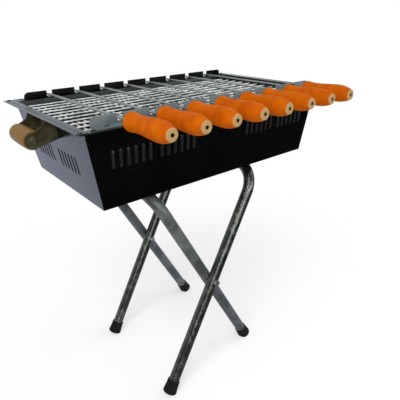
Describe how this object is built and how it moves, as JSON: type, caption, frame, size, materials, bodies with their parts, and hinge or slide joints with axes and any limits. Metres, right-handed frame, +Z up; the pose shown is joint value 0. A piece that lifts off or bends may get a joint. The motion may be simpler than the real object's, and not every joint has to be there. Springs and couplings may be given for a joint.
{
  "type": "charcoal skewer grill on a folding stand",
  "caption": "Charcoal grill: sheet metal hopper with a wire grille, notched rails of hand-turned skewers and a folding tube stand.",
  "frame": {"origin": "on the floor under the middle of the object's bounding box", "axes": "+X along the front to the right, +Y from the skewer handles to the back, +Z up"},
  "size_m": [0.7076, 0.495, 0.7103],
  "materials": {
    "black_enamel": "satin black heat-resistant enamel",
    "dark_steel": "dark oiled steel",
    "zinc_wire": "pale zinc plating",
    "skewer_steel": "drawn stainless strip",
    "orange_wood": "orange lacquer fading to bare wood at the nose",
    "brown_wood": "brown lacquered wood",
    "polished_tube": "polished dark chrome",
    "bright_steel": "bright steel",
    "black_rubber": "matt moulded rubber"
  },
  "bodies": {
    "firebox": {"front_panel": "black_enamel", "back_panel": "black_enamel", "left_panel": "black_enamel", "right_panel": "black_enamel", "floor_plate": "black_enamel", "front_skewer_rail": "black_enamel", "back_skewer_rail": "black_enamel", "front_grille_ledge": "black_enamel", "back_grille_ledge": "black_enamel", "left_grate_ledge": "black_enamel", "right_grate_ledge": "black_enamel", "grille_cross_wires": "zinc_wire", "grille_long_rods": "zinc_wire", "charcoal_grate": "black_enamel", "flange_rivets": "bright_steel", "clip_rivets": "bright_steel", "handle_rivets": "bright_steel", "front_hinge_clip": "zinc_wire", "back_hinge_clip": "zinc_wire", "front_stop_hook": "zinc_wire", "back_stop_hook": "zinc_wire", "left_handle_bracket": "dark_steel", "left_handle_grip": "brown_wood", "left_handle_bolt": "dark_steel", "left_handle_nut": "dark_steel", "right_handle_bracket": "dark_steel", "right_handle_grip": "brown_wood", "right_handle_bolt": "dark_steel", "right_handle_nut": "dark_steel"},
    "right_legs": {"right_frame_crossbar": "polished_tube", "right_frame_front_leg": "polished_tube", "right_frame_back_leg": "polished_tube", "right_frame_front_foot": "black_rubber", "right_frame_back_foot": "black_rubber", "front_pivot_bolt": "bright_steel", "back_pivot_bolt": "bright_steel", "front_pivot_nut": "bright_steel", "back_pivot_nut": "bright_steel", "pivot_washers": "bright_steel"},
    "left_legs": {"left_frame_crossbar": "polished_tube", "left_frame_front_leg": "polished_tube", "left_frame_back_leg": "polished_tube", "left_frame_front_foot": "black_rubber", "left_frame_back_foot": "black_rubber"},
    "skewer_1": {"skewer_blade_1": "skewer_steel", "skewer_handle_1": "orange_wood"},
    "skewer_2": {"skewer_blade_2": "skewer_steel", "skewer_handle_2": "orange_wood"},
    "skewer_3": {"skewer_blade_3": "skewer_steel", "skewer_handle_3": "orange_wood"},
    "skewer_4": {"skewer_blade_4": "skewer_steel", "skewer_handle_4": "orange_wood"},
    "skewer_5": {"skewer_blade_5": "skewer_steel", "skewer_handle_5": "orange_wood"},
    "skewer_6": {"skewer_blade_6": "skewer_steel", "skewer_handle_6": "orange_wood"},
    "skewer_7": {"skewer_blade_7": "skewer_steel", "skewer_handle_7": "orange_wood"},
    "skewer_8": {"skewer_blade_8": "skewer_steel", "skewer_handle_8": "orange_wood"}
  },
  "joints": [
    {"name": "skewer_turn_1", "type": "hinge", "parent": "firebox", "child": "skewer_1", "pos_m": [-0.224, 0.0585, 0.69298], "axis": [0, 1, 0], "continuous": true},
    {"name": "skewer_turn_2", "type": "hinge", "parent": "firebox", "child": "skewer_2", "pos_m": [-0.16, 0.0585, 0.69298], "axis": [0, 1, 0], "continuous": true},
    {"name": "skewer_turn_3", "type": "hinge", "parent": "firebox", "child": "skewer_3", "pos_m": [-0.096, 0.0585, 0.69298], "axis": [0, 1, 0], "continuous": true},
    {"name": "skewer_turn_4", "type": "hinge", "parent": "firebox", "child": "skewer_4", "pos_m": [-0.032, 0.0585, 0.69298], "axis": [0, 1, 0], "continuous": true},
    {"name": "skewer_turn_5", "type": "hinge", "parent": "firebox", "child": "skewer_5", "pos_m": [0.032, 0.0585, 0.69298], "axis": [0, 1, 0], "continuous": true},
    {"name": "skewer_turn_6", "type": "hinge", "parent": "firebox", "child": "skewer_6", "pos_m": [0.096, 0.0585, 0.69298], "axis": [0, 1, 0], "continuous": true},
    {"name": "skewer_turn_7", "type": "hinge", "parent": "firebox", "child": "skewer_7", "pos_m": [0.16, 0.0585, 0.69298], "axis": [0, 1, 0], "continuous": true},
    {"name": "skewer_turn_8", "type": "hinge", "parent": "firebox", "child": "skewer_8", "pos_m": [0.224, 0.0585, 0.69298], "axis": [0, 1, 0], "continuous": true},
    {"name": "right_legs_fold", "type": "hinge", "parent": "firebox", "child": "right_legs", "pos_m": [0.11783, 0.0585, 0.51948], "axis": [0, 1, 0], "range_deg": [-24.5, 0]},
    {"name": "left_legs_fold", "type": "hinge", "parent": "right_legs", "child": "left_legs", "pos_m": [-0.018, 0.0585, 0.26722], "axis": [0, 1, 0], "range_deg": [0, 49]}
  ],
  "couplings": [
    {"joint": "left_legs_fold", "follows": "right_legs_fold", "ratio": -2}
  ]
}
